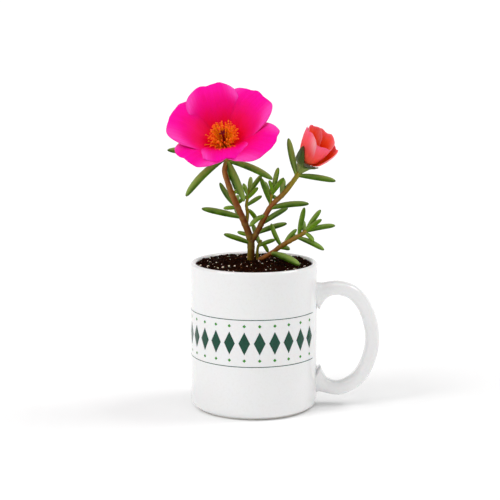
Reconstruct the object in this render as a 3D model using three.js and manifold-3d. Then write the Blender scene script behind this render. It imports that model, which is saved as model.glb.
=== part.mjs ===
// A portulaca growing in a mug: one open bloom, one half-open bud and their leafy stems, in potting soil, in
// a plain straight-sided mug with one handle. Millimetres, +Z up. Everything is laid out from the mug's axis,
// and the finished plant is then moved so that the origin is the bottom centre of the whole object's box.
import * as THREE from "three";
import { mergeVertices } from "three/addons/utils/BufferGeometryUtils.js";
import Module from "manifold-3d";

// ---- Driving dimensions ----

const GAP = 0.3; // left between two pieces that touch

// The common mug size that holds 325 ml.
const mug = {
  radius: 41,
  height: 95,
  wall: 3.7,
  floor: 6,
  corner: 5, // inside, where the wall meets the floor
  footRadius: 37.5,
  footWidth: 4,
  recess: 1.4,
  lip: { depth: 2.2, ease: 0.6 }, // how far down and how far in the rim is rounded on each side
  sides: 48,
};

// The handle is a loop in the plane y = 0, given by its centre line [x, z] and its half sizes.
const handle = {
  route: [[38, 72], [46, 76.3], [54, 77.6], [64, 74.6], [72.2, 64.5], [77, 46.5], [75, 31], [68, 18],
    [56, 11.3], [46, 13.2], [38, 18.5]],
  halfThickness: 4.6,
  halfDepth: 5.6,
  flare: 2, // how much thicker it is where it joins the wall
  flareShare: 0.11, // the share of its length that the flare takes
  sides: 10,
  steps: 26,
};

// The soil stands just below the rim and is heaped a little round the plant.
const soil = { level: 93.4, heap: 1.2, heapRadius: 16, lump: 0.5, rings: 6, sides: 24 };

// White perlite grains, sunk into the soil's surface.
const perlite = { count: 26, smallest: 0.9, largest: 1.9, spread: 34, clearOfPlant: 9, seed: 23 };

// The open bloom and the bud each stand in a frame of their own, whose +Z is the flower's axis. A petal's
// middle line runs through the points of its profile, in shares of its reach and height, and it is curved
// round the axis from flat, at wrap 0, to a full round, at wrap 1. Its rim has one notch, off the middle by a
// share of its half width. A sepal's line is in millimetres, as [distance from the axis, height].
const bloom = {
  place: [-18.3, -4.6, 169],
  bearing: -100,
  rise: 53,
  neck: 3.2, // the straight end of its stem, in line with the flower
  calyx: { height: 7, foot: 1.5, top: 4.2 },
  sepals: [
    { turn: -60, width: 9, line: [[3.4, -1.6], [7, 0], [10.5, 2.2], [13.5, 4.4]] },
    { turn: 120, width: 9, line: [[3.4, -1.6], [7, 0], [10.5, 2.2], [13.5, 4.4]] },
  ],
  petals: [
    { turn: 59, reach: 37.2, height: 18.8, width: 42, over: true, notchAt: -0.25 },
    { turn: 112, reach: 38.3, height: 22.5, width: 37, over: false, notchAt: 0.1 },
    { turn: 162, reach: 36.4, height: 18, width: 45, over: true, notchAt: 0.35 },
    { turn: 233, reach: 33.6, height: 14.4, width: 35.5, over: false, notchAt: -0.1 },
    { turn: 284, reach: 27.5, height: 13, width: 36, over: true, notchAt: 0 },
    { turn: 338, reach: 37.4, height: 16.6, width: 40, over: false, notchAt: 0.4 },
  ],
  petalForm: {
    foot: 2.2, base: 1.1, profile: [[0.33, 0.5], [0.67, 0.9], [1, 1]], narrow: 0.14, full: 0.82, corner: 0.62,
    notch: 0.045, wrap: 0.45, cup: 1, curl: 2.2, ruffle: 0.6, overlap: 1.6, across: 8, along: 6,
  },
  stamens: { count: 32, ring: [1.9, 2.7], length: 17, lean: 42 },
  pistil: { height: 12.2, radius: 0.7, lobes: 5, lobeLength: 3.1, lobeLean: 50 },
};

const bud = {
  place: [32.2, -0.8, 158.4],
  bearing: -24,
  rise: 58,
  neck: 1.6,
  calyx: { height: 6.4, foot: 1.9, top: 5.2 },
  sepals: [
    { turn: 156, width: 10, line: [[3.8, -1.4], [5.9, 0.4], [7.3, 4.2], [8.7, 8], [10, 11.6]] },
    { turn: 262, width: 14, line: [[3.8, -1.4], [5.7, 0.2], [7.6, 1.5], [9.4, 3.5]] },
  ],
  petals: [
    { turn: 136, reach: 10.8, height: 22.2, width: 23, over: false, notchAt: 0 },
    { turn: 234, reach: 10.2, height: 17.4, width: 24, over: true, notchAt: 0 },
    { turn: 312, reach: 14.2, height: 17.8, width: 21, over: false, notchAt: 0 },
    { turn: 4, reach: 12, height: 22, width: 21, over: true, notchAt: 0 },
    { turn: 76, reach: 9.6, height: 23.4, width: 22, over: false, notchAt: 0 },
  ],
  petalForm: {
    foot: 1.4, base: 1.1, profile: [[0.56, 0.2], [0.78, 0.45], [0.94, 0.75], [1, 1]], narrow: 0.14,
    full: 0.6, corner: 0.72, notch: 0.03, wrap: 1, cup: 0, curl: 0, ruffle: 0.4, overlap: 0.6, across: 6,
    along: 6,
  },
  stamens: { count: 12, ring: [0.7, 1.8], length: 10, lean: 14 },
};

const sepalForm = { point: 1.4, wrap: 0.6, across: 4, along: 4 };

// What the petals of both flowers share: how square the rim's lobe is, the width of its notch, the waves of
// its ruffle across the petal, and how much a petal that lies over its neighbours is drawn in.
const petalRim = { squareness: 2.4, notchWidth: 0.2, waves: 1.3, drawnIn: 0.4 };

const stamenForm = { outline: [[0, 0], [0.34, 0], [0.36, 0.8], [0.78, 0.9], [0, 1]], shorterOutside: 0.25 };

// Stems as points on their centre lines, root first, with the radius at the root and at the tip. One that
// carries a flower goes on to just under its calyx, where it is in line with the flower.
const stems = {
  left: {
    points: [[-1.5, 7, 72], [-1.8, 6.5, 86], [-2, 6, 95], [-2.3, 5, 108], [-6.3, 4, 120], [-10.4, 3.2, 129.5],
      [-13.9, 1.8, 138], [-16.9, 0.8, 146.5], [-18.9, 1, 154]],
    radii: [2.7, 1.6],
    carries: bloom,
  },
  right: {
    points: [[-2, 5, 106.5], [2.8, 5, 114.8], [6.8, 4.5, 123.2], [10.2, 4, 129.4], [14, 3, 134],
      [18.4, 2.2, 138.2], [21.9, 1.8, 142.3], [25, 1.4, 146.7]],
    radii: [1.9, 1.5],
    carries: bud,
  },
  low: {
    points: [[4.5, 7, 74], [3.2, 6, 90], [3.3, 6, 94.5], [7, 4, 97.2], [12.3, 2, 100.8], [17.4, 0, 105.1],
      [23.1, -2, 108.7], [28.8, -4, 112.3], [33.8, -6, 115.8]],
    radii: [1.7, 1.4],
  },
  centre: {
    points: [[-5, 4, 118], [-4.2, 7, 124.9], [-4.9, 9, 130.5], [-3.9, 10, 135.6], [-2.6, 10, 140.2]],
    radii: [1.2, 0.9],
  },
  riser: { points: [[10.5, 4, 129.5], [10.9, 3, 135.9], [12.4, 2, 141.5]], radii: [1.1, 0.9] },
  behind: { points: [[-8.4, 3.8, 125.5], [-10.4, 8, 128.8], [-13.4, 11.5, 132]], radii: [1.1, 0.9] },
  base: { points: [[2.8, 10, 80], [2.2, 9, 94], [2.4, 8.4, 102], [4.6, 8, 107.7]], radii: [1, 0.9] },
};

// Leaves as [share of the stem's length where it grows, bearing, rise, length, bow]. The bearing is its angle
// from +X towards +Y, the rise is its slope, and the bow is how much steeper it starts out, all in degrees.
const leaves = {
  left: [
    [0.99, -160, -41, 36.5, 16], [0.96, -16, -20, 32.2, 14], [0.97, -38, -62, 29.5, 2], [0.98, 173, 7, 39, 8],
    [0.97, 112, -6, 30, 16], [0.94, 54, -58, 25, 10], [0.545, -168, 14, 27.5, 4], [0.62, 166, 53, 20, -10],
    [0.355, -159, 21, 20, 6], [0.41, 153, 12, 9, 8], [0.78, 100, 34, 17, 10], [0.72, 20, 30, 10, 12],
    [0.5, 118, 30, 16, 12], [0.33, 104, 34, 14, 10],
  ],
  right: [
    [0.45, -9, 8, 26, 12], [0.24, 17, 29, 21, 8], [0.36, -144, -26, 14, 24], [0.12, 4, 18, 21, 10],
    [0.1, 106, 44, 9, 6], [0.947, 142, 74, 25, -3], [0.957, -12, -7, 25, 7], [0.94, 84, -3, 24, 14],
    [0.9, 118, -37, 19, 2], [0.66, 84, 30, 18, 10], [0.6, 130, 6, 12, 14],
  ],
  low: [
    [0.66, 180, 66, 16, -8], [0.89, -17, 79, 19, 3], [0.7, 29, 44, 13, 8], [0.985, 10, 55, 17, 8],
    [0.99, -30, 38, 14, 8], [0.985, -18, 14, 20, 12], [0.97, -42, -33, 9, 10], [0.86, -21, -21, 20, 14],
    [0.62, 61, -12, 16, 14], [0.52, -54, -7, 30, 10], [0.77, 144, -40, 9, 12], [0.97, 92, 20, 15, 10],
    [0.84, 88, -8, 18, 12],
  ],
  centre: [
    [0.9, 6, 55, 15, 6], [0.82, 147, 65, 9, 4], [0.75, -30, 45, 11, 8], [0.55, 0, 33, 12, 8],
    [0.83, 156, -38, 9, 20], [0.46, 30, -50, 12, 24], [0.95, 84, 46, 12, 6],
  ],
  riser: [
    [0.96, 31, 75, 15, 3], [0.7, -36, 51, 15, 6], [0.88, -149, 70, 8, 4], [0.2, -151, 67, 19, 6],
    [0.3, 130, 66, 14, 8], [0.6, 80, 40, 12, 10],
  ],
  behind: [[0.9, 130, 42, 12, 10], [0.6, 150, 48, 13, 6], [0.75, 84, 24, 12, 8], [0.5, 150, -6, 11, 10]],
  base: [[0.84, 0, 21, 12, 12], [0.95, 14, -54, 9, 24], [0.9, 110, 34, 12, 10]],
};

const leaf = { sides: 5, flatness: 0.95, narrowest: 2.2, widening: 0.088 };

const blade = 0.8; // thickness of petals and sepals

// ---- Finishes ----

const finish = (color, roughness) => new THREE.MeshStandardMaterial({ color, roughness, metalness: 0 });
const finishes = {
  glaze: finish(0xf4f4f2, 0.12),
  soil: finish(0x2c1d15, 0.95),
  leaf: finish(0x4f7a2c, 0.4),
  sepal: finish(0x7c9a44, 0.45),
  magenta: finish(0xf01593, 0.5),
  coral: finish(0xf2645a, 0.5),
  orange: finish(0xe8701c, 0.6),
  maroon: finish(0x8c1030, 0.5),
};

// ---- Shaping ----

const wasm = await Module();
wasm.setup();

const UP = new THREE.Vector3(0, 0, 1);
const ACROSS = new THREE.Vector3(0, 1, 0);
const GOLDEN_ANGLE = 137.5;
const stand = Math.PI / 2; // turns +Y up to +Z
const radians = THREE.MathUtils.degToRad;

// A closed geometry as a solid. Only its positions are kept, so that shared vertices merge.
function solidOf(geometry) {
  const bare = new THREE.BufferGeometry();
  bare.setAttribute("position", geometry.getAttribute("position"));
  bare.setIndex(geometry.getIndex());
  const merged = mergeVertices(bare, 1e-4);
  const corners = merged.getIndex().array;
  const triangles = [];
  for (let i = 0; i < corners.length; i += 3) {
    const [a, b, c] = corners.subarray(i, i + 3);
    if (a !== b && b !== c && c !== a) triangles.push(a, b, c);
  }
  const vertProperties = new Float32Array(merged.getAttribute("position").array);
  const triVerts = new Uint32Array(triangles);
  return new wasm.Manifold(new wasm.Mesh({ numProp: 3, vertProperties, triVerts }));
}

// One body out of several that cross. A scrap that a cut leaves loose is dropped.
function largest(solid) {
  return solid.decompose().reduce((most, next) => (next.volume() > most.volume() ? next : most));
}

const joined = (solids) => largest(solids.reduce((sum, next) => sum.add(next)));

function meshOf(name, solid, material) {
  const { vertProperties, triVerts } = solid.getMesh();
  const geometry = new THREE.BufferGeometry();
  geometry.setAttribute("position", new THREE.BufferAttribute(vertProperties, 3));
  geometry.setIndex(new THREE.BufferAttribute(triVerts, 1));
  geometry.computeVertexNormals();
  const mesh = new THREE.Mesh(geometry, material);
  mesh.name = name;
  return mesh;
}

// Moves each vertex of a geometry to where place(vertex) puts it.
function reshaped(geometry, place) {
  const position = geometry.getAttribute("position");
  const vertex = new THREE.Vector3();
  for (let i = 0; i < position.count; i += 1) {
    vertex.fromBufferAttribute(position, i);
    place(vertex);
    position.setXYZ(i, vertex.x, vertex.y, vertex.z);
  }
  return geometry;
}

// Turns a profile of [radius, height] about +Y.
function turned(profile, sides) {
  return new THREE.LatheGeometry(
    profile.map(([r, h]) => new THREE.Vector2(r, h)),
    sides,
  );
}

// Lays a geometry that stands on y = 0 and ends at y = 1 along a curve. Its x goes square to the reference.
function bent(geometry, curve, reference) {
  return reshaped(geometry, (v) => {
    const share = THREE.MathUtils.clamp(v.y, 0, 1);
    const along = curve.getTangentAt(share);
    const side = new THREE.Vector3().crossVectors(along, reference).normalize();
    const over = new THREE.Vector3().crossVectors(side, along);
    v.copy(curve.getPointAt(share).addScaledVector(side, v.x).addScaledVector(over, v.z));
  });
}

// Gives an open surface a thickness. Both faces keep the same triangles, so that a waved blade can't cross
// itself.
function thickened(surface, thickness) {
  surface.computeVertexNormals();
  const position = surface.getAttribute("position");
  const normal = surface.getAttribute("normal");
  const count = position.count;
  const points = [];
  for (const shift of [thickness / 2, -thickness / 2])
    for (let i = 0; i < count; i += 1) {
      const out = new THREE.Vector3().fromBufferAttribute(normal, i);
      points.push(...new THREE.Vector3().fromBufferAttribute(position, i).addScaledVector(out, shift));
    }
  const corners = surface.getIndex().array;
  const triangles = [];
  const edges = new Map();
  for (let i = 0; i < corners.length; i += 3) {
    const [a, b, c] = corners.subarray(i, i + 3);
    triangles.push(a, b, c, c + count, b + count, a + count);
    for (const [from, to] of [[a, b], [b, c], [c, a]]) edges.set(`${from} ${to}`, [from, to]);
  }
  for (const [from, to] of edges.values())
    if (!edges.has(`${to} ${from}`)) triangles.push(to, from, from + count, to, from + count, to + count);
  const closed = new THREE.BufferGeometry();
  closed.setAttribute("position", new THREE.Float32BufferAttribute(points, 3));
  closed.setIndex(triangles);
  return closed;
}

function direction(bearing, rise) {
  const level = Math.cos(radians(rise));
  return new THREE.Vector3(
    level * Math.cos(radians(bearing)),
    level * Math.sin(radians(bearing)),
    Math.sin(radians(rise)),
  );
}

// The same random draws on every run.
function seeded(seed) {
  let state = seed;
  return (low, high) => {
    state = (state * 1664525 + 1013904223) % 4294967296;
    return low + ((high - low) * state) / 4294967296;
  };
}

// ---- Mug ----

function handleSolid(core) {
  const route = new THREE.CatmullRomCurve3(handle.route.map(([x, z]) => new THREE.Vector3(x, 0, z)));
  const rod = new THREE.CylinderGeometry(1, 1, 1, handle.sides, handle.steps).translate(0, 0.5, 0);
  const swollen = reshaped(rod, (v) => {
    const toWall = Math.min(v.y, 1 - v.y) / handle.flareShare;
    const flare = (handle.flare - 1) * Math.max(0, 1 - toWall) ** 2;
    v.x *= handle.halfThickness * (1 + flare);
    v.z *= handle.halfDepth * (1 + flare / 3);
  });
  return solidOf(bent(swollen, route, ACROSS)).subtract(core);
}

function mugSolid() {
  const { radius, height, wall, floor, corner, footRadius, footWidth, recess, lip, sides } = mug;
  const inner = radius - wall;
  const wallAndFloor = turned(
    [
      [0, recess], [footRadius - footWidth - 1, recess], [footRadius - footWidth, 0], [footRadius, 0],
      [radius - 1.2, 1.6], [radius, 5], [radius, height - lip.depth], [radius - lip.ease, height - lip.ease],
      [radius - wall / 2, height], [inner + lip.ease, height - lip.ease], [inner, height - lip.depth],
      [inner, floor + corner], [inner - 0.3 * corner, floor + 0.3 * corner], [inner - corner, floor],
      [0, floor],
    ],
    sides,
  );
  const middleOfWall = radius - wall / 2;
  const core = new THREE.CylinderGeometry(middleOfWall, middleOfWall, height, sides).rotateX(stand);
  const handleOnly = handleSolid(solidOf(core.translate(0, 0, height / 2)));
  return joined([solidOf(wallAndFloor.rotateX(stand)), handleOnly]);
}

// ---- Soil ----

function soilHeight(x, y) {
  const heap = soil.heap * Math.exp(-(x * x + y * y) / soil.heapRadius ** 2);
  const lumps = Math.sin(0.55 * x + 1) * Math.cos(0.47 * y) + 0.6 * Math.sin(1.1 * x + 0.9 * y);
  return soil.level + heap + soil.lump * lumps;
}

function soilSolid(holes) {
  const radius = mug.radius - mug.wall - GAP;
  const bottom = mug.floor + GAP;
  const { corner } = mug;
  const profile = [[0, bottom], [radius - corner, bottom], [radius - 0.3 * corner, bottom + 0.3 * corner],
    [radius, bottom + corner]];
  for (let ring = soil.rings; ring >= 0; ring -= 1) profile.push([(radius * ring) / soil.rings, soil.level]);
  const plug = turned(profile, soil.sides).rotateX(stand);
  reshaped(plug, (v) => {
    if (v.z > mug.height / 2) v.z = soilHeight(v.x, v.y);
  });
  const draw = seeded(perlite.seed);
  const grains = [];
  while (grains.length < perlite.count) {
    const [x, y] = [draw(-1, 1) * perlite.spread, draw(-1, 1) * perlite.spread];
    const size = draw(perlite.smallest, perlite.largest);
    const squash = draw(0.6, 1);
    const fromPlant = Math.hypot(x, y - stems.left.points[2][1]);
    if (Math.hypot(x, y) > perlite.spread || fromPlant < perlite.clearOfPlant) continue;
    const grain = new THREE.IcosahedronGeometry(size).scale(1, squash, 0.8);
    grains.push(solidOf(grain.translate(x, y, soilHeight(x, y))));
  }
  return largest(joined([solidOf(plug), ...grains]).subtract(holes));
}

// ---- Leafy stems ----

function curveOf({ points, carries }) {
  const line = points.map((p) => new THREE.Vector3(...p));
  if (carries) {
    const axis = direction(carries.bearing, carries.rise);
    const end = new THREE.Vector3(...carries.place).addScaledVector(axis, -carries.calyx.height - GAP);
    line.push(end.clone().addScaledVector(axis, -carries.neck), end);
  }
  return new THREE.CatmullRomCurve3(line);
}

// A stem's own rod, made thicker all round by extra where it cuts its hole in something else.
function rodOf(stem, extra = 0) {
  const [root, tip] = stem.radii;
  const curve = curveOf(stem);
  const steps = 2 * (curve.points.length - 1);
  const profile = [[0, 0]];
  for (let i = 0; i <= steps; i += 1) {
    const share = i / steps;
    profile.push([THREE.MathUtils.lerp(root, tip, share) + extra, share]);
  }
  profile.push([0, 1]);
  return solidOf(bent(turned(profile, 8), curve, ACROSS));
}

// A fleshy leaf is a slim spindle, a little flattened and blunt at its tip, on an arched line.
function leafSolid(stem, [share, bearing, rise, length, bow]) {
  const foot = curveOf(stem).getPointAt(share);
  const lift = direction(bearing, rise + bow).multiplyScalar(length / 2);
  const tip = foot.clone().addScaledVector(direction(bearing, rise), length);
  const line = new THREE.QuadraticBezierCurve3(foot, foot.clone().add(lift), tip);
  const half = (leaf.narrowest + leaf.widening * length) / 2;
  const outline = [[0, 0], [0.46, 0], [0.72, 0.18], [1, 0.46], [0.96, 0.72], [0.56, 0.94], [0, 1]];
  const spindle = turned(outline.map(([r, h]) => [r * half, h]), leaf.sides).scale(1, 1, leaf.flatness);
  return solidOf(bent(spindle, line, UP));
}

function leafyStem(name) {
  return joined([rodOf(stems[name]), ...leaves[name].map((row) => leafSolid(stems[name], row))]);
}

// ---- Flowers ----

// A frame that stands on a place with +Z along the flower's axis and +X level.
function flowerFrame({ place, bearing, rise }) {
  const axis = direction(bearing, rise);
  const level = direction(bearing + 90, 0);
  const frame = new THREE.Group();
  frame.position.set(...place);
  frame.quaternion.setFromRotationMatrix(
    new THREE.Matrix4().makeBasis(level, new THREE.Vector3().crossVectors(axis, level), axis),
  );
  return frame;
}

// A sheet of unit half width and unit length that place(u, v) bends. Its points lie closer together towards
// its two sides.
function bladeSolid(across, along, turn, place) {
  const sheet = new THREE.PlaneGeometry(2, 1, across, along).translate(0, 0.5, 0);
  reshaped(sheet, (v) => v.copy(place(Math.sin((v.x * Math.PI) / 2), v.y)));
  return solidOf(thickened(sheet, blade).rotateZ(radians(turn)));
}

const splineOf = (points) => new THREE.SplineCurve(points.map(([r, h]) => new THREE.Vector2(r, h)));

// Curves a blade's offset to the side round the flower's axis, from flat, at wrap 0, to a full round.
function roundAxis(out, side, smallest, wrap) {
  const angle = side / Math.max(out, smallest);
  const { lerp } = THREE.MathUtils;
  return [lerp(out, out * Math.cos(angle), wrap), lerp(side, out * Math.sin(angle), wrap)];
}

// A petal is narrow at its foot, and broad, notched and ruffled at its rounded rim.
function petalSolid({ turn, reach, height, width, over, notchAt }, form) {
  const lift = over ? form.overlap : 0;
  const shares = form.profile.map(([out, up]) => [
    out * reach - petalRim.drawnIn * lift,
    up * (height + lift),
  ]);
  const line = splineOf([[form.foot, form.base], ...shares]);
  return bladeSolid(form.across, form.along, turn, (u, v) => {
    const lobe = Math.sqrt(1 - Math.min(1, Math.abs(u)) ** petalRim.squareness);
    const rounded = form.corner + (1 - form.corner) * lobe;
    const notch = form.notch * Math.exp(-(((u - notchAt) / petalRim.notchWidth) ** 2));
    const middle = line.getPoint(v * (rounded - notch));
    const spread = form.narrow + (1 - form.narrow) * Math.sin((Math.min(1, v / form.full) * Math.PI) / 2);
    const [x, y] = roundAxis(middle.x, (u * spread * width) / 2, form.foot, form.wrap);
    const ruffle = form.ruffle * v * v * Math.sin(2 * petalRim.waves * Math.PI * u + turn);
    const curl = form.curl * v ** 4 * Math.abs(u);
    const cup = form.cup * u * u * spread * (1 - v);
    return new THREE.Vector3(x, y, middle.y + ruffle - curl + cup);
  });
}

function petalsSolid({ petals, petalForm }) {
  const { foot, base } = petalForm;
  const ring = turned(
    [[0, GAP], [foot + 1, GAP], [foot + 1.7, base + 0.5], [foot, base + 1], [0, base + 1]],
    12,
  );
  return joined([solidOf(ring.rotateX(stand)), ...petals.map((petal) => petalSolid(petal, petalForm))]);
}

// A green cup that widens out of the stem, with two pointed sepals that lie against the petals' outside.
function calyxSolid({ calyx, sepals }) {
  const { height, foot, top } = calyx;
  const cup = turned([[0, -height], [foot, -height], [0.8 * top, -0.4 * height], [top, 0], [0, 0]], 12);
  const blades = sepals.map(({ turn, width, line }) => {
    const middleLine = splineOf(line);
    return bladeSolid(sepalForm.across, sepalForm.along, turn, (u, v) => {
      const middle = middleLine.getPoint(v);
      const side = (u * width * Math.cos(v * sepalForm.point)) / 2;
      const [x, y] = roundAxis(middle.x, side, foot, sepalForm.wrap);
      return new THREE.Vector3(x, y, middle.y);
    });
  });
  return joined([solidOf(cup.rotateX(stand)), ...blades]);
}

// Stamens stand on a ring, a golden angle apart, and lean out more the further out they stand.
function stamensSolid({ stamens, petalForm }) {
  const { count, ring, length, lean } = stamens;
  const floor = petalForm.base + 1 + GAP;
  const [inside, outside] = ring;
  const foot = turned([[inside - 0.7, 0], [outside, 0], [outside + 0.2, 0.5], [outside - 0.2, 1.1],
    [inside - 0.7, 1.1], [inside - 0.7, 0]], 12);
  const rods = [];
  for (let i = 0; i < count; i += 1) {
    const outward = Math.sqrt((i + 0.5) / count);
    const radius = THREE.MathUtils.lerp(inside, outside - 0.5, outward);
    const height = length * (1 - stamenForm.shorterOutside * outward);
    const rod = turned(stamenForm.outline.map(([r, h]) => [r, h * height]), 4).rotateX(stand);
    rod.rotateY(radians(lean * outward)).translate(radius, 0, floor + 0.5);
    rods.push(solidOf(rod.rotateZ(radians(i * GOLDEN_ANGLE))));
  }
  return joined([solidOf(foot.rotateX(stand).translate(0, 0, floor)), ...rods]);
}

function pistilSolid({ pistil, petalForm }) {
  const { height, radius, lobes, lobeLength, lobeLean } = pistil;
  const floor = petalForm.base + 1 + GAP;
  const style = turned([[0, floor], [radius, floor], [0.8 * radius, height], [0, height + 0.6]], 8);
  const arms = [];
  for (let i = 0; i < lobes; i += 1) {
    const arm = turned([[0, 0], [0.5, 0], [0.65, 0.6 * lobeLength], [0, lobeLength]], 5).rotateX(stand);
    arm.rotateY(radians(lobeLean)).translate(0, 0, height - 0.4);
    arms.push(solidOf(arm.rotateZ((i * 2 * Math.PI) / lobes)));
  }
  return joined([solidOf(style.rotateX(stand)), ...arms]);
}

// ---- The whole object ----

const trunk = rodOf(stems.left, GAP);
const holes = trunk.add(rodOf(stems.low, GAP)).add(rodOf(stems.base, GAP));

const plant = new THREE.Group();
plant.add(
  meshOf("mug", mugSolid(), finishes.glaze),
  meshOf("soil", soilSolid(holes), finishes.soil),
  meshOf("stem_left", leafyStem("left"), finishes.leaf),
  meshOf("stem_right", largest(leafyStem("right").subtract(trunk)), finishes.leaf),
  meshOf("stem_low", leafyStem("low"), finishes.leaf),
  meshOf("shoot_centre", largest(leafyStem("centre").subtract(trunk)), finishes.leaf),
  meshOf("shoot_riser", largest(leafyStem("riser").subtract(rodOf(stems.right, GAP))), finishes.leaf),
  meshOf("shoot_behind", largest(leafyStem("behind").subtract(trunk)), finishes.leaf),
  meshOf("shoot_base", leafyStem("base"), finishes.leaf),
);

const openBloom = flowerFrame(bloom);
openBloom.add(
  meshOf("bloom_calyx", calyxSolid(bloom), finishes.sepal),
  meshOf("bloom_petals", petalsSolid(bloom), finishes.magenta),
  meshOf("bloom_stamens", stamensSolid(bloom), finishes.orange),
  meshOf("bloom_pistil", pistilSolid(bloom), finishes.maroon),
);

const halfOpenBud = flowerFrame(bud);
halfOpenBud.add(
  meshOf("bud_calyx", calyxSolid(bud), finishes.sepal),
  meshOf("bud_petals", petalsSolid(bud), finishes.coral),
  meshOf("bud_stamens", stamensSolid(bud), finishes.orange),
);
plant.add(openBloom, halfOpenBud);

const box = new THREE.Box3().setFromObject(plant, true);
plant.position.set(-(box.min.x + box.max.x) / 2, -(box.min.y + box.max.y) / 2, -box.min.z);

export default plant;
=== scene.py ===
import bisect
import math
import random

import bmesh
import bpy
from mathutils import Matrix, Vector


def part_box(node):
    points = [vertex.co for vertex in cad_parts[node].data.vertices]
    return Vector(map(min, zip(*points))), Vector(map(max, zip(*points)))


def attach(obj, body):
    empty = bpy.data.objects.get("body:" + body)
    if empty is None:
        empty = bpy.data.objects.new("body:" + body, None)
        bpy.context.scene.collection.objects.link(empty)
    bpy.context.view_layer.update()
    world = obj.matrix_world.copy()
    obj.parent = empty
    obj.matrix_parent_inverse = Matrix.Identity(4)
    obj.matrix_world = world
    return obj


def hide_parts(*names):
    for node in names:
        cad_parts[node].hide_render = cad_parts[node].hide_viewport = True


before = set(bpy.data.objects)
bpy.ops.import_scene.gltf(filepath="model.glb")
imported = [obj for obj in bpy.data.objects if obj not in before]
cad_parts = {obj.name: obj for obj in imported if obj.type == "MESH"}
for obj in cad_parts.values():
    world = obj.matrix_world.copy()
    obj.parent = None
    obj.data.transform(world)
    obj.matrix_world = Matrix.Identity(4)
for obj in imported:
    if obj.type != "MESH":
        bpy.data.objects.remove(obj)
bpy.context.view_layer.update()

# ---- Studio ----
# A shallow round bowl of white paper, broad soft lights from the left, the right and above, and a long lens
# that looks down a little on the rim of the mug. Places are in millimetres from the middle of the mug's foot.

MUG_RADIUS = 41.0
mug_low, mug_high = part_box("mug")
MIDDLE = Vector((mug_low.x + MUG_RADIUS / 1000, (mug_low.y + mug_high.y) / 2, 0.0))


def at(x, y, z):
    """A place in millimetres from the mug's foot, in the frame's metres."""
    return MIDDLE + Vector((x, y, z)) / 1000


def paint(red, green, blue):
    """A colour of 0 to 255 as the shader's linear one."""
    return (*((part / 255) ** 2.2 for part in (red, green, blue)), 1.0)


def add(tree, kind, inputs=(), **settings):
    """Adds a node to a tree. An input is given a plain value, or another node's output to be joined to."""
    made = tree.nodes.new(kind)
    for name, value in settings.items():
        setattr(made, name, value)
    for key, value in dict(inputs).items():
        if isinstance(value, bpy.types.NodeSocket):
            tree.links.new(value, made.inputs[key])
        else:
            made.inputs[key].default_value = value
    return made


def finish(name, plain):
    """A new material with plain values on its shader's sockets: the material, its tree and its shader."""
    material = bpy.data.materials.new(name)
    material.use_nodes = True
    shader = material.node_tree.nodes["Principled BSDF"]
    for socket, value in plain.items():
        shader.inputs[socket].default_value = value
    return material, material.node_tree, shader


def skin(rings, around=True, ends=True):
    """The points and faces that join rows of equally many points; ends are closed to the middles of rings."""
    count = len(rings[0])
    points = [point for ring in rings for point in ring]
    faces = []
    for row in range(len(rings) - 1):
        for i in range(count if around else count - 1):
            a, b = row * count + i, row * count + (i + 1) % count
            faces.append((a, b, b + count, a + count))
    if around and ends:
        for ring, start in ((rings[0], 0), (rings[-1], len(points) - count)):
            points.append(sum(ring, Vector()) / count)
            faces += [(start + i, start + (i + 1) % count, len(points) - 1) for i in range(count)]
    return points, faces


def piece(name, parts, *materials, marks=None, closed=True):
    """An object from (points in millimetres, faces) parts. Marks are named lists of one number per point."""
    mesh = bpy.data.meshes.new(name)
    points, faces = [], []
    for part_points, part_faces in parts:
        faces += [tuple(len(points) + i for i in face) for face in part_faces]
        points += part_points
    mesh.from_pydata([at(*point) for point in points], [], faces)
    for mark, values in (marks or {}).items():
        mesh.attributes.new(mark, "FLOAT", "POINT").data.foreach_set("value", values)
    if closed:
        shell = bmesh.new()
        shell.from_mesh(mesh)
        bmesh.ops.recalc_face_normals(shell, faces=shell.faces)
        shell.to_mesh(mesh)
        shell.free()
    mesh.polygons.foreach_set("use_smooth", [True] * len(mesh.polygons))
    for material in materials:
        mesh.materials.append(material)
    made = bpy.data.objects.new(name, mesh)
    bpy.context.scene.collection.objects.link(made)
    return made


def circle(radius, height, sides):
    """Equally spaced points on a level circle."""
    turns = (math.tau * i / sides for i in range(sides))
    return [Vector((radius * math.cos(turn), radius * math.sin(turn), height)) for turn in turns]


LENS = 101.88
CAMERA_AT = (-2.6, -900, 256)
LOOKS_DOWN = 9.68  # degrees

lens = bpy.data.cameras.new("long_lens")
lens.lens = LENS
lens.sensor_width = 36
lens.clip_end = 20
camera = bpy.data.objects.new("camera", lens)
camera.location = at(*CAMERA_AT)
camera.rotation_euler = (math.radians(90 - LOOKS_DOWN), 0, 0)
bpy.context.scene.collection.objects.link(camera)
bpy.context.scene.camera = camera

paper, paper_tree, paper_shader = finish("white_paper", {"Roughness": 0.9, "Specular IOR Level": 0.2})
paper_grain = add(paper_tree, "ShaderNodeTexNoise", {
    "Vector": add(paper_tree, "ShaderNodeTexCoord").outputs["Object"], "Scale": 900.0, "Detail": 3.0})
paper_tone = add(paper_tree, "ShaderNodeMix", {
    0: paper_grain.outputs[0], 6: paint(250, 250, 250), 7: paint(254, 254, 254)}, data_type="RGBA")
paper_tree.links.new(paper_tone.outputs[2], paper_shader.inputs["Base Color"])

# The bowl is flat to a radius, bends up to a slope in degrees, and runs on to its rim.
FLAT_TO, BEND, SLOPE, RIM = 1800, 1500, 40, 4000
BOWL_SIDES = 72
PAPER_BELOW = 0.02  # under the mug's foot

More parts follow.
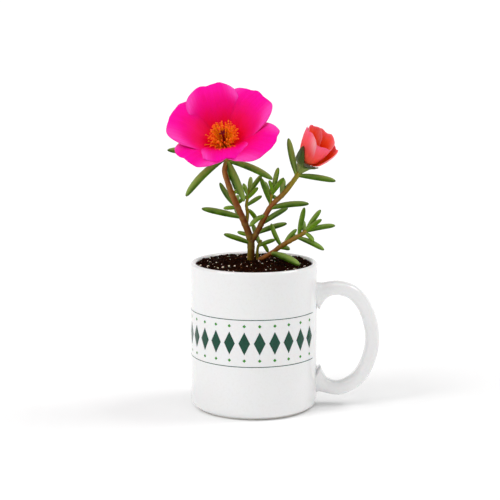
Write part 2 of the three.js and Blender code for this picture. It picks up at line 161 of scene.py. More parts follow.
bowl = [(1, 0.0), (FLAT_TO, 0.0)]
for step in range(1, 11):
    turn = math.radians(SLOPE * step / 10)
    bowl.append((FLAT_TO + BEND * math.sin(turn), BEND * (1 - math.cos(turn))))
bowl.append((RIM, bowl[-1][1] + (RIM - bowl[-1][0]) * math.tan(math.radians(SLOPE))))
bowl_rings = [circle(r, z - PAPER_BELOW, BOWL_SIDES) for r, z in bowl]
backdrop = piece("paper_bowl", [skin(bowl_rings, ends=False)], paper, closed=False)

AMBIENT = 0.46
world = bpy.data.worlds.new("studio")
world.use_nodes = True
world.node_tree.nodes["Background"].inputs["Color"].default_value = (1.0, 1.0, 1.0, 1.0)
world.node_tree.nodes["Background"].inputs["Strength"].default_value = AMBIENT
bpy.context.scene.world = world
bpy.context.scene.view_settings.view_transform = "Standard"

LIGHTS = {  # the way each lies, its strength, and how wide it is in degrees
    "left_window": ((-0.64, -0.3, 0.7), 0.95, 30),
    "right_reflector": ((0.6, 0.12, 0.79), 0.8, 26),
    "overhead": ((0.0, -0.12, 0.99), 0.55, 40),
}
for light_name, (way, strength, width) in LIGHTS.items():
    light = bpy.data.lights.new(light_name, "SUN")
    light.energy = strength
    light.angle = math.radians(width)
    holder = bpy.data.objects.new(light_name, light)
    holder.rotation_euler = Vector(way).to_track_quat("Z", "Y").to_euler()
    bpy.context.scene.collection.objects.link(holder)

# ---- Mug ----
# A straight-sided mug of white glazed ceramic, the common size that holds 325 ml. The body is turned, the
# handle is a pulled loop that spreads where it joins the wall, and the ring that it stands on has no glaze.

MUG_HEIGHT = 95.0
WALL = 3.7
FLOOR = 6.0
INNER = MUG_RADIUS - WALL
HANDLE_ROUTE = [(38, 72), (46, 76.3), (54, 77.6), (64, 74.6), (72.2, 64.5), (77, 46.5), (75, 31), (68, 18),
                (56, 11.3), (46, 13.2), (38, 18.5)]
HANDLE_THICK = 4.6
HANDLE_DEEP = 5.6
HANDLE_FLARE = 0.11  # the share of its length over which it thickens to the wall
HANDLE_STEPS = 72
HANDLE_SIDES = 32
SQUARENESS = 2.4  # 2 is a round section
FILLET = 3.0
FILLET_SPREAD = 0.28


def arc(middle, half, start, end, steps):
    """Points of (radius, height) on part of an ellipse, from one angle to another in degrees."""
    turns = (math.radians(start + (end - start) * i / steps) for i in range(steps + 1))
    return [(middle[0] + half[0] * math.cos(turn), middle[1] + half[1] * math.sin(turn)) for turn in turns]


def turned(profile, sides):
    """A profile of (radius, height) turned about the mug's axis; it starts and ends on the axis."""
    points, faces = skin([circle(r, z, sides) for r, z in profile[1:-1]])
    for point, (_, z) in zip(points[-2:], (profile[0], profile[-1])):
        point.z = z
    return points, faces


def smooth_line(points, steps=24):
    """A line that runs smoothly through the points, as many close points."""
    points = [Vector(point) for point in points]
    ends = [2 * points[0] - points[1], *points, 2 * points[-1] - points[-2]]
    line = []
    for before, start, end, after in zip(ends, ends[1:], ends[2:], ends[3:]):
        gaps = [math.sqrt((b - a).length) for a, b in ((before, start), (start, end), (end, after))]
        first = (start - before) / gaps[0] - (end - before) / (gaps[0] + gaps[1]) + (end - start) / gaps[1]
        last = (end - start) / gaps[1] - (after - start) / (gaps[1] + gaps[2]) + (after - end) / gaps[2]
        first, last = first * gaps[1], last * gaps[1]
        for i in range(steps):
            t = i / steps
            line.append(start + first * t + (3 * (end - start) - 2 * first - last) * t * t
                        + (2 * (start - end) + first + last) * t ** 3)
    return [*line, points[-1]]


def spot(line, share):
    """Where a line is at a share of its length, and which way it runs there."""
    run = [0.0]
    for a, b in zip(line, line[1:]):
        run.append(run[-1] + (b - a).length)
    i = min(max(bisect.bisect_right(run, share * run[-1]) - 1, 0), len(line) - 2)
    part = (share * run[-1] - run[i]) / (run[i + 1] - run[i])
    here, after = line[i + 1] - line[max(i - 1, 0)], line[min(i + 2, len(line) - 1)] - line[i]
    return line[i].lerp(line[i + 1], part), here.normalized().lerp(after.normalized(), part).normalized()


def sides_of(line, share, reference):
    """The frame that is carried along a line: its place, sideways and over."""
    place, along = spot(line, share)
    sideways = along.cross(Vector(reference)).normalized()
    return place, sideways, sideways.cross(along)


def shared_group(name, inputs, outputs):
    """A shader node group with named inputs and outputs: its tree, and the sockets of its inputs."""
    group = bpy.data.node_groups.new(name, "ShaderNodeTree")
    for label, kind in inputs:
        group.interface.new_socket(label, in_out="INPUT", socket_type="NodeSocket" + kind)
    for label, kind in outputs:
        group.interface.new_socket(label, in_out="OUTPUT", socket_type="NodeSocket" + kind)
    return group, group.nodes.new("NodeGroupInput").outputs


BLACK = paint(0, 0, 0)


def maths(tree, operation, *values, clamp=False):
    """A sum on one to three values, in either kind of tree."""
    return add(tree, "ShaderNodeMath", enumerate(values), operation=operation, use_clamp=clamp).outputs[0]


def mixed(tree, share, first, second):
    """Two colours mixed."""
    return add(tree, "ShaderNodeMix", {0: share, 6: first, 7: second}, data_type="RGBA").outputs[2]


# Mottle: soft cloudy changes between two colours, and the clouds themselves as a height.
mottle, m_in = shared_group(
    "mottle", [("Place", "Vector"), ("Stretch", "Vector"), ("Scale", "Float"), ("Contrast", "Float"),
               ("First", "Color"), ("Second", "Color")], [("Colour", "Color"), ("Height", "Float")])
m_place = add(mottle, "ShaderNodeVectorMath", {0: m_in["Place"], 1: m_in["Stretch"]}, operation="MULTIPLY")
m_noise = add(mottle, "ShaderNodeTexNoise", {
    "Vector": m_place.outputs[0], "Scale": m_in["Scale"], "Detail": 5.0, "Roughness": 0.6})
m_centred = maths(mottle, "SUBTRACT", m_noise.outputs[0], 0.5)
m_spread = maths(mottle, "MULTIPLY_ADD", m_centred, m_in["Contrast"], 0.5, clamp=True)
m_colour = mixed(mottle, m_spread, m_in["First"], m_in["Second"])
add(mottle, "NodeGroupOutput", {"Colour": m_colour, "Height": m_spread})


def place_in(tree):
    """The place on the piece, in the frame's metres."""
    return add(tree, "ShaderNodeTexCoord").outputs["Object"]


def mottled(tree, scale, contrast, first, second, place=None, stretch=(1, 1, 1)):
    """The mottle group in a material's tree, on the place on the piece if no other is given."""
    if place is None:
        place = place_in(tree)
    made = add(tree, "ShaderNodeGroup", {
        "Place": place, "Stretch": stretch, "Scale": scale, "Contrast": contrast, "First": first,
        "Second": second}, node_tree=mottle)
    return made.outputs["Colour"], made.outputs["Height"]


def clouded(tree, scale, contrast, **where):
    """The mottle group's clouds alone, as a height."""
    return mottled(tree, scale, contrast, BLACK, BLACK, **where)[1]


def height_up(tree):
    """How high the place on the piece is, in metres."""
    return add(tree, "ShaderNodeSeparateXYZ", {0: place_in(tree)}).outputs[2]


def mapped(tree, value, low, high, to_low=0.0, to_high=1.0):
    """A value from one range brought to another, smoothly and clamped."""
    return add(tree, "ShaderNodeMapRange", {
        "Value": value, "From Min": low, "From Max": high, "To Min": to_low, "To Max": to_high},
        interpolation_type="SMOOTHSTEP").outputs[0]


def dress(tree, shader, colour, rough):
    """Joins a colour and a roughness to a shader."""
    tree.links.new(colour, shader.inputs["Base Color"])
    tree.links.new(rough, shader.inputs["Roughness"])


def bump(tree, shader, height, distance, strength):
    """Raises a shader's surface by a height, at most by a distance in millimetres."""
    made = add(tree, "ShaderNodeBump", {"Strength": strength, "Distance": distance / 1000, "Height": height})
    tree.links.new(made.outputs[0], shader.inputs["Normal"])


glaze, tree, shader = finish("white_glaze", {
    "IOR": 1.5, "Subsurface Weight": 0.08, "Subsurface Scale": 0.002, "Coat Weight": 0.35,
    "Coat Roughness": 0.04})
white, clouds = mottled(tree, 28.0, 1.2, paint(230, 230, 230), paint(234, 234, 234))
specks = mapped(tree, clouded(tree, 700.0, 9.0), 0.985, 1.0, 0.0, 0.06)
bare = mapped(tree, height_up(tree), 0.0011, 0.0004)
speckled = mixed(tree, specks, white, paint(200, 192, 180))
glossy = mapped(tree, clouds, 0, 1, 0.1, 0.13)
dress(tree, shader, mixed(tree, bare, speckled, paint(226, 221, 212)),
      maths(tree, "MULTIPLY_ADD", bare, 0.6, glossy, clamp=True))
bump(tree, shader, clouded(tree, 160.0, 1.0), 0.02, 0.25)

body = [
    (0, 1.4), (31.6, 1.4), (33, 1.1), *arc((34.4, 0.9), (0.9, 0.9), 180, 270, 5),
    *arc((36.6, 1.0), (1.0, 1.0), 270, 320, 4), (38.6, 1.3), (39.8, 2.1), (40.6, 3.3), (41, 5), (41, 20),
    (41, 40), (41, 60), (41, 80), (41, 91),
    *arc((MUG_RADIUS - WALL / 2, 92.8), (WALL / 2, MUG_HEIGHT - 92.8), 0, 180, 16),
    (INNER, 91), (INNER, 80), (INNER, 50), (INNER, 20), *arc((INNER - 5, FLOOR + 5), (5, 5), 0, -90, 8),
    (15, FLOOR), (0, FLOOR),
]
loop = smooth_line([(x, 0, z) for x, z in HANDLE_ROUTE])
handle_rings = []
for step in range(HANDLE_STEPS + 1):
    share = step / HANDLE_STEPS
    place, sideways, over = sides_of(loop, share, (0, 1, 0))
    to_wall = min(share, 1 - share) / HANDLE_FLARE
    flare = max(0.0, 1 - to_wall) ** 2
    ring = []
    for i in range(HANDLE_SIDES):
        turn = math.tau * i / HANDLE_SIDES
        thick, deep = math.cos(turn), math.sin(turn)
        square = (abs(thick) ** SQUARENESS + abs(deep) ** SQUARENESS) ** (-1 / SQUARENESS)
        offset = (sideways * (thick * square * HANDLE_THICK * (1 + flare))
                  + over * (deep * square * HANDLE_DEEP * (1 + flare / 3)))
        from_wall = (place + offset).xy.length - MUG_RADIUS
        near = min(max(1 - from_wall / FILLET, 0.0), 1.0)
        spread = FILLET_SPREAD * (1 - math.sqrt(1 - min(near, 0.98) ** 2))
        ring.append(place + offset * (1 + spread))
    handle_rings.append(ring)
mug = piece("mug_glazed", [turned(body, 144), skin(handle_rings)], glaze)
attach(mug, "root")
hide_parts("mug")

# ---- Print on the mug ----
# A plain geometric border in two greens, printed under the glaze round the front of the mug: a row of tall
# diamonds, a row of dots above and below it, and a thin line along each side. It ends short of the handle.

PRINT_FROM = 24.0
PRINT_TURN = 312.0
PRINT_MIDDLE = 50.0
DIAMONDS = 23


def growth(name, inputs):
    """A Geometry Nodes tree with named inputs: the tree, and the sockets of its inputs."""
    tree = bpy.data.node_groups.new(name, "GeometryNodeTree")
    for label, kind in [("Geometry", "Geometry"), *inputs, ("Material", "Material")]:
        tree.interface.new_socket(label, in_out="INPUT", socket_type="NodeSocket" + kind)
    tree.interface.new_socket("Geometry", in_out="OUTPUT", socket_type="NodeSocketGeometry")
    return tree, tree.nodes.new("NodeGroupInput").outputs


def end_growth(tree, geometry, material):
    """Ends a tree with real, smooth mesh in its material."""
    real = add(tree, "GeometryNodeRealizeInstances", {"Geometry": geometry})
    smooth = add(tree, "GeometryNodeSetShadeSmooth", {"Geometry": real.outputs[0], "Shade Smooth": True})
    dressed = add(tree, "GeometryNodeSetMaterial", {"Geometry": smooth.outputs[0], "Material": material})
    add(tree, "NodeGroupOutput", {"Geometry": dressed.outputs[0]})


def grown(name, tree, base, values):
    """The plain mesh that a tree makes from a base mesh, as a new object at the origin."""
    seed = bpy.data.objects.new(name + "_seed", base)
    bpy.context.scene.collection.objects.link(seed)
    modifier = seed.modifiers.new("growth", "NODES")
    modifier.node_group = tree
    for item in tree.interface.items_tree:
        if item.in_out == "INPUT" and item.name in values:
            modifier[item.identifier] = values[item.name]
    graph = bpy.context.evaluated_depsgraph_get()
    mesh = bpy.data.meshes.new_from_object(seed.evaluated_get(graph), depsgraph=graph)
    bpy.data.objects.remove(seed)
    mesh.name = name
    made = bpy.data.objects.new(name, mesh)
    bpy.context.scene.collection.objects.link(made)
    return made


def level_place(tree, radius, turn):
    """A radius and a turn as the two level parts of a place."""
    return [maths(tree, "MULTIPLY", radius, maths(tree, part, turn)) for part in ("COSINE", "SINE")]


# Print row: equal motifs set side by side on a flat strip, which is then wrapped round a cylinder.
print_row, r_in = growth("print_row", [
    ("Count", "Int"), ("Pitch", "Float"), ("Turn", "Float"), ("Width", "Float"), ("Tall", "Float"),
    ("Height", "Float"), ("Radius", "Float"), ("Start", "Float"), ("Ink", "Float")])
r_step = maths(print_row, "ADD", add(print_row, "GeometryNodeInputIndex").outputs[0], 0.5)
r_x = maths(print_row, "MULTIPLY", r_step, r_in["Pitch"])
r_spots = add(print_row, "ShaderNodeCombineXYZ", {0: r_x, 2: r_in["Height"]})
r_points = add(print_row, "GeometryNodePoints", {"Count": r_in["Count"], "Position": r_spots.outputs[0]})
r_block = add(print_row, "GeometryNodeMeshCube", {
    "Size": (1, 1, 1), "Vertices X": 9, "Vertices Y": 2, "Vertices Z": 9})
r_lean = add(print_row, "ShaderNodeCombineXYZ", {1: r_in["Turn"]})
r_leant = add(print_row, "GeometryNodeTransform", {
    "Geometry": r_block.outputs[0], "Rotation": r_lean.outputs[0]})
r_size = add(print_row, "ShaderNodeCombineXYZ", {0: r_in["Width"], 1: r_in["Ink"], 2: r_in["Tall"]})
r_motif = add(print_row, "GeometryNodeTransform", {
    "Geometry": r_leant.outputs[0], "Scale": r_size.outputs[0]})
r_row = add(print_row, "GeometryNodeInstanceOnPoints", {
    "Points": r_points.outputs[0], "Instance": r_motif.outputs[0]})
r_flat = add(print_row, "GeometryNodeRealizeInstances", {"Geometry": r_row.outputs[0]})
r_place = add(print_row, "ShaderNodeSeparateXYZ", {0: add(print_row, "GeometryNodeInputPosition").outputs[0]})
r_angle = maths(print_row, "DIVIDE", r_place.outputs[0], r_in["Radius"])
r_turn = maths(print_row, "ADD", r_angle, r_in["Start"])
r_far = maths(print_row, "ADD", r_place.outputs[1], r_in["Radius"])
r_wrapped = add(print_row, "ShaderNodeCombineXYZ", {
    **dict(enumerate(level_place(print_row, r_far, r_turn))), 2: r_place.outputs[2]})
r_round = add(print_row, "GeometryNodeSetPosition", {
    "Geometry": r_flat.outputs[0], "Position": r_wrapped.outputs[0]})
end_growth(print_row, r_round.outputs[0], r_in["Material"])


def ink(name, deep, light):
    """Printed colour with a faint grain, as glossy as the glaze over it."""
    material, tree, shader = finish(name, {
        "Specular IOR Level": 0.25, "Coat Weight": 0.12, "Coat Roughness": 0.06})
    green, grain = mottled(tree, 900.0, 2.0, deep, light)
    dress(tree, shader, green, mapped(tree, grain, 0, 1, 0.14, 0.24))
    bump(tree, shader, grain, 0.01, 0.3)
    return material


dark_ink = ink("dark_green_print", paint(8, 62, 46), paint(14, 76, 58))
leaf_ink = ink("leaf_green_print", paint(56, 128, 44), paint(74, 146, 58))
strip = math.radians(PRINT_TURN) * MUG_RADIUS
pitch = strip / DIAMONDS
ROWS = {
    "print_diamonds": (DIAMONDS, 45, 5.2, 10.4, 0, dark_ink),
    "print_dots_high": (DIAMONDS, 45, 1.6, 1.6, 11, leaf_ink),
    "print_dots_low": (DIAMONDS, 45, 1.6, 1.6, -11, leaf_ink),
    "print_line_high": (DIAMONDS, 0, pitch, 0.45, 15, dark_ink),
    "print_line_low": (DIAMONDS, 0, pitch, 0.45, -15, dark_ink),
}
for name, (count, turn, width, tall, above, colour) in ROWS.items():
    row = grown(name, print_row, bpy.data.meshes.new(name + "_base"), {
        "Count": count, "Pitch": pitch / 1000, "Turn": math.radians(turn), "Width": width / 1000,
        "Tall": tall / 1000, "Height": (PRINT_MIDDLE + above) / 1000, "Radius": (MUG_RADIUS + 0.02) / 1000,
        "Start": math.radians(PRINT_FROM), "Ink": 0.08 / 1000, "Material": colour})
    row.data.transform(Matrix.Translation(MIDDLE))
    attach(row, "root")

# ---- Potting soil ----
# A peat and bark mix, nearly black when damp, that fills the mug to just under its rim and is heaped a little
# round the stems. Crumbs and slips of bark lie on it, and white grains of perlite show among them.

SOIL_LEVEL = 93.4
SOIL_RADIUS = 37.0
HEAP = 1.2
HEAP_RADIUS = 16.0
LUMPS = 0.5
SOIL_RINGS = 38
SOIL_SIDES = 96


def soil_height(x, y):
    """How high the soil stands at a place."""
    heap = HEAP * math.exp(-(x * x + y * y) / HEAP_RADIUS ** 2)
    lumps = math.sin(0.55 * x + 1) * math.cos(0.47 * y) + 0.6 * math.sin(1.1 * x + 0.9 * y)
    return SOIL_LEVEL + heap + LUMPS * lumps


damp_peat, tree, shader = finish("damp_peat", {"Specular IOR Level": 0.03})
peat, crumbs = mottled(tree, 420.0, 2.6, paint(2, 0, 0), paint(52, 24, 6))
dress(tree, shader, peat, mapped(tree, clouded(tree, 90.0, 3.0), 0, 1, 0.55, 0.95))
bump(tree, shader, crumbs, 0.5, 0.8)

bark_brown, tree, shader = finish("bark_brown", {"Specular IOR Level": 0.12, "Roughness": 0.8})
bark, fibres = mottled(tree, 260.0, 3.0, paint(34, 17, 8), paint(124, 76, 36), stretch=(1, 3, 2))
tree.links.new(bark, shader.inputs["Base Color"])
bump(tree, shader, fibres, 0.2, 0.7)

perlite_white, tree, shader = finish("perlite_white", {"Subsurface Weight": 0.2, "Subsurface Scale": 0.0005})
chalk, pores = mottled(tree, 1500.0, 3.0, paint(236, 220, 188), paint(255, 250, 234))
dress(tree, shader, chalk, mapped(tree, pores, 0, 1, 0.95, 0.7))
bump(tree, shader, pores, 0.12, 0.8)

surface_rings = [circle(SOIL_RADIUS * (1 - r / SOIL_RINGS), 0, SOIL_SIDES) for r in range(SOIL_RINGS)]
for ring in surface_rings:
    for point in ring:
        point.z = soil_height(point.x, point.y)
plug = [[Vector((p.x * r / SOIL_RADIUS, p.y * r / SOIL_RADIUS, z)) for p in surface_rings[0]]
        for r, z in ((10, 6.3), (32, 6.3), (35.5, 7.8), (37, 11.3), (37, 50), (37, 85))]
soil = piece("potting_soil", [skin([*plug, *surface_rings])], damp_peat)
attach(soil, "root")
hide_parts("soil")

# Scatter: rough grains strewn over a surface, each with its own size, turn and shape.
scatter, s_in = growth("scatter", [
    ("Apart", "Float"), ("Density", "Float"), ("Smallest", "Float"), ("Largest", "Float"),
    ("Shape", "Vector"), ("Ragged", "Float"), ("Detail", "Int"), ("Seed", "Int")])
s_points = add(scatter, "GeometryNodeDistributePointsOnFaces", {
    "Mesh": s_in["Geometry"], "Distance Min": s_in["Apart"], "Density Max": s_in["Density"],
    "Seed": s_in["Seed"]}, distribute_method="POISSON")
s_grain = add(scatter, "GeometryNodeMeshIcoSphere", {"Radius": 0.5, "Subdivisions": s_in["Detail"]})
s_shaped = add(scatter, "GeometryNodeTransform", {"Geometry": s_grain.outputs[0], "Scale": s_in["Shape"]})
s_size = add(scatter, "FunctionNodeRandomValue", {
    2: s_in["Smallest"], 3: s_in["Largest"], "Seed": s_in["Seed"]}, data_type="FLOAT")
s_turn = add(scatter, "FunctionNodeRandomValue", {
    0: (-0.5, -0.5, 0), 1: (0.5, 0.5, math.tau), "Seed": s_in["Seed"]}, data_type="FLOAT_VECTOR")
s_strewn = add(scatter, "GeometryNodeInstanceOnPoints", {
    "Points": s_points.outputs[0], "Instance": s_shaped.outputs[0], "Rotation": s_turn.outputs[0],
    "Scale": s_size.outputs[1]})
s_real = add(scatter, "GeometryNodeRealizeInstances", {"Geometry": s_strewn.outputs[0]})
s_noise = add(scatter, "ShaderNodeTexNoise", {"Scale": 1400.0, "Detail": 2.0})
s_shift = add(scatter, "ShaderNodeVectorMath", {0: s_noise.outputs["Color"], 1: (0.5, 0.5, 0.5)},
              operation="SUBTRACT")
s_ragged = add(scatter, "ShaderNodeVectorMath", {0: s_shift.outputs[0], "Scale": s_in["Ragged"]},
               operation="SCALE")
s_rough = add(scatter, "GeometryNodeSetPosition", {
    "Geometry": s_real.outputs[0], "Offset": s_ragged.outputs[0]})
end_growth(scatter, s_rough.outputs[0], s_in["Material"])

STREWN_INPUTS = ("Apart", "Density", "Smallest", "Largest", "Shape", "Ragged", "Detail", "Seed")
STREWN = {  # the values of those inputs, then the material and the slot
    "soil_crumbs": (
        0.00085, 1.1e6, 0.0009, 0.0021, (1, 0.9, 0.8), 0.0009, 1, 3, damp_peat, "soil"),
    "bark_slips": (
        0.0034, 4.0e4, 0.0016, 0.0036, (1, 0.42, 0.2), 0.0005, 2, 8, bark_brown, "soil"),
    "perlite_grains": (
        0.0035, 3.2e4, 0.0007, 0.0021, (1, 0.85, 0.8), 0.0006, 2, 14, perlite_white, "perlite"),
}
STREWN_WITHIN = 0.985  # the share of the soil's radius that is strewn
STREWN_ABOVE = 0.15
lifted = Vector((0, 0, (1 - STREWN_WITHIN) * SOIL_LEVEL + STREWN_ABOVE))
strewn_rings = [[point * STREWN_WITHIN + lifted for point in ring] for ring in surface_rings]
for name, (*values, material, slot) in STREWN.items():
    points, faces = skin(strewn_rings, ends=False)
    base = bpy.data.meshes.new(name + "_base")
    base.from_pydata([at(*point) for point in points], [], faces)
    inputs = dict(zip(STREWN_INPUTS, values))
    strewn = grown(name, scatter, base, {**inputs, "Material": material})
    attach(strewn, "root")

# ---- Stems and leaves ----
# Fleshy round stems, red-brown at the root and olive towards the flowers, that thicken a little at each leaf.
# The side of each stem that faces the brighter light is painted lighter, a painted highlight.
# The leaves are slim fleshy spindles with a waxy skin, and the youngest, at the tips, are yellow-green.
# Their tops are painted lighter than their undersides, a painted highlight.

# Where the two flowers stand, which way their axes point, how deep the green cup under each is, and how long
# the stem under it is straight.
BLOOM = {"place": (-18.3, -4.6, 169), "bearing": -100, "rise": 53, "cup": 7, "neck": 3.2}
BUD = {"place": (32.2, -0.8, 158.4), "bearing": -24, "rise": 58, "cup": 6.4, "neck": 1.6}
GAP = 0.3

# Each stem as its CAD node, its radius at the root and at the tip, the points on its centre line, the flower
# that it carries, and its leaves as (share of its length, bearing, rise, length, bow).
STEMS = {
    "stem_left": (2.7, 1.6, [
        (-1.5, 7, 72), (-1.8, 6.5, 86), (-2, 6, 95), (-2.3, 5, 108), (-6.3, 4, 120), (-10.4, 3.2, 129.5),
        (-13.9, 1.8, 138), (-16.9, 0.8, 146.5), (-18.9, 1, 154)], BLOOM, [
        (0.99, -160, -41, 36.5, 16), (0.96, -16, -20, 32.2, 14), (0.97, -38, -62, 29.5, 2),
        (0.98, 173, 7, 39, 8), (0.97, 112, -6, 30, 16), (0.94, 54, -58, 25, 10),
        (0.545, -168, 14, 27.5, 4), (0.62, 166, 53, 20, -10), (0.355, -159, 21, 20, 6),
        (0.41, 153, 12, 9, 8), (0.78, 100, 34, 17, 10), (0.72, 20, 30, 10, 12), (0.5, 118, 30, 16, 12),
        (0.33, 104, 34, 14, 10)]),
    "stem_right": (1.9, 1.5, [
        (-2, 5, 106.5), (2.8, 5, 114.8), (6.8, 4.5, 123.2), (10.2, 4, 129.4), (14, 3, 134),
        (18.4, 2.2, 138.2), (21.9, 1.8, 142.3), (25, 1.4, 146.7)], BUD, [
        (0.45, -9, 8, 26, 12), (0.24, 17, 29, 21, 8), (0.36, -144, -26, 14, 24), (0.12, 4, 18, 21, 10),
        (0.1, 106, 44, 9, 6), (0.947, 142, 74, 25, -3), (0.957, -12, -7, 25, 7), (0.94, 84, -3, 24, 14),
        (0.9, 118, -37, 19, 2), (0.66, 84, 30, 18, 10), (0.6, 130, 6, 12, 14)]),
    "stem_low": (1.7, 1.4, [
        (4.5, 7, 74), (3.2, 6, 90), (3.3, 6, 94.5), (7, 4, 97.2), (12.3, 2, 100.8), (17.4, 0, 105.1),
        (23.1, -2, 108.7), (28.8, -4, 112.3), (33.8, -6, 115.8)], None, [
        (0.66, 180, 66, 16, -8), (0.89, -17, 79, 19, 3), (0.7, 29, 44, 13, 8), (0.985, 10, 55, 17, 8),
        (0.99, -30, 38, 14, 8), (0.985, -18, 14, 20, 12), (0.97, -42, -33, 9, 10), (0.86, -21, -21, 20, 14),
        (0.62, 61, -12, 16, 14), (0.52, -54, -7, 30, 10), (0.77, 144, -40, 9, 12), (0.97, 92, 20, 15, 10),
        (0.84, 88, -8, 18, 12)]),
    "shoot_centre": (1.2, 0.9, [
        (-5, 4, 118), (-4.2, 7, 124.9), (-4.9, 9, 130.5), (-3.9, 10, 135.6), (-2.6, 10, 140.2)], None, [
        (0.9, 6, 55, 15, 6), (0.82, 147, 65, 9, 4), (0.75, -30, 45, 11, 8), (0.55, 0, 33, 12, 8),
        (0.83, 156, -38, 9, 20), (0.46, 30, -50, 12, 24), (0.95, 84, 46, 12, 6)]),
    "shoot_riser": (1.1, 0.9, [(10.5, 4, 129.5), (10.9, 3, 135.9), (12.4, 2, 141.5)], None, [
        (0.96, 31, 75, 15, 3), (0.7, -36, 51, 15, 6), (0.88, -149, 70, 8, 4), (0.2, -151, 67, 19, 6),
        (0.3, 130, 66, 14, 8), (0.6, 80, 40, 12, 10)]),
    "shoot_behind": (1.1, 0.9, [(-8.4, 3.8, 125.5), (-10.4, 8, 128.8), (-13.4, 11.5, 132)], None, [
        (0.9, 130, 42, 12, 10), (0.6, 150, 48, 13, 6), (0.75, 84, 24, 12, 8), (0.5, 150, -6, 11, 10)]),
    "shoot_base": (1.0, 0.9, [(2.8, 10, 80), (2.2, 9, 94), (2.4, 8.4, 102), (4.6, 8, 107.7)], None, [
        (0.84, 0, 21, 12, 12), (0.95, 14, -54, 9, 24), (0.9, 110, 34, 12, 10)]),
}


def heading(bearing, rise):
    """The direction of a bearing from +X towards +Y and a slope, both in degrees."""
    level = math.cos(math.radians(rise))
    turn = math.radians(bearing)
    return Vector((level * math.cos(turn), level * math.sin(turn), math.sin(math.radians(rise))))


def ramp(tree, value, stops):
    """A colour that changes along a value through (share, colour) stops."""
    made = add(tree, "ShaderNodeValToRGB", {0: value})
    band = made.color_ramp
    while len(band.elements) < len(stops):
        band.elements.new(0.5)
    for element, (share, colour) in zip(band.elements, stops):
        element.position = share
        element.color = colour
    return made.outputs[0]


def mark(tree, name):
    """A number that the mesh carries at each point."""
    return add(tree, "ShaderNodeAttribute", attribute_name=name).outputs["Fac"]


fleshy_stem, tree, shader = finish("fleshy_stem", {
    "Subsurface Weight": 0.06, "Subsurface Radius": (1.0, 0.5, 0.2), "Subsurface Scale": 0.0012,
    "Specular IOR Level": 0.14, "Coat Weight": 0.02, "Coat Roughness": 0.3})
share_up = maths(tree, "ADD", mapped(tree, height_up(tree), 0.09, 0.158), mark(tree, "ruddy"), clamp=True)
tone = ramp(tree, share_up, [
    (0.0, paint(68, 50, 0)), (0.2, paint(86, 46, 0)), (0.45, paint(112, 50, 4)),
    (0.75, paint(134, 70, 12)), (1.0, paint(138, 76, 24))])
# Painted highlight: a lighter tone for the side of each stem that faces the brighter light.
painted_lit_tone = ramp(tree, share_up, [
    (0.0, paint(146, 138, 44)), (0.3, paint(164, 120, 52)), (0.6, paint(184, 120, 64)),
    (1.0, paint(186, 132, 78))])
painted_lit_side = mixed(tree, mapped(tree, mark(tree, "lit"), 0.4, 1.0, 0.0, 0.8), tone, painted_lit_tone)
streaks = clouded(tree, 320.0, 3.0, stretch=(1, 1, 0.22))
blush = mixed(tree, mapped(tree, streaks, 0, 1, 0.45, 0.0), painted_lit_side, paint(96, 32, 14))
shoot = mixed(tree, mark(tree, "young"), blush, paint(142, 142, 34))
joint = mixed(tree, mapped(tree, mark(tree, "joint"), 0, 1, 0, 0.22), shoot, paint(146, 136, 66))
dress(tree, shader, joint, mapped(tree, streaks, 0, 1, 0.34, 0.5))
bump(tree, shader, streaks, 0.18, 0.5)

waxy_leaf, tree, shader = finish("waxy_leaf", {
    "Subsurface Weight": 0.05, "Subsurface Radius": (0.5, 1.0, 0.2), "Subsurface Scale": 0.001,
    "Specular IOR Level": 0.12, "Coat Weight": 0.02, "Coat Roughness": 0.3})
along, young, upper = mark(tree, "along"), mark(tree, "young"), mark(tree, "upper")
full_green = mottled(tree, 130.0, 2.4, paint(34, 62, 0), paint(82, 118, 14))[0]
new_green = mottled(tree, 130.0, 1.8, paint(96, 140, 8), paint(138, 180, 34))[0]
green = mixed(tree, young, full_green, new_green)
# Painted highlight: the side of each leaf that faces up is painted lighter than its underside.
painted_top_highlight = mixed(tree, mapped(tree, upper, 0.3, 1.0, 0.0, 0.75), green, paint(146, 174, 86))
foot_tone = mixed(tree, mapped(tree, along, 0.14, 0.0, 0.0, 0.7), painted_top_highlight, paint(150, 160, 66))
tip_tone = mixed(tree, mapped(tree, along, 0.93, 1.0, 0.0, 0.6), foot_tone, paint(56, 52, 20))
veins = clouded(tree, 900.0, 2.0)
dress(tree, shader, tip_tone, mapped(tree, veins, 0, 1, 0.3, 0.46))
bump(tree, shader, veins, 0.08, 0.5)


def stem_line(points, flower):
    """A stem's centre line. One that carries a flower ends in line with it, just under its cup."""
    points = [Vector(point) for point in points]
    if flower:
        axis = heading(flower["bearing"], flower["rise"])
        end = Vector(flower["place"]) - axis * (flower["cup"] + GAP)
        points += [end - axis * flower["neck"], end]
    return smooth_line(points)


LIT_SIDE = Vector((-0.82, -0.4, 0.4))  # the way to the brighter light
STALK_SIDES = 16
YOUNG_FROM = 0.52  # the share of a stem from which it turns from its root's green to its tip's,
YOUNG_OVER = 0.44  # and the share over which it does


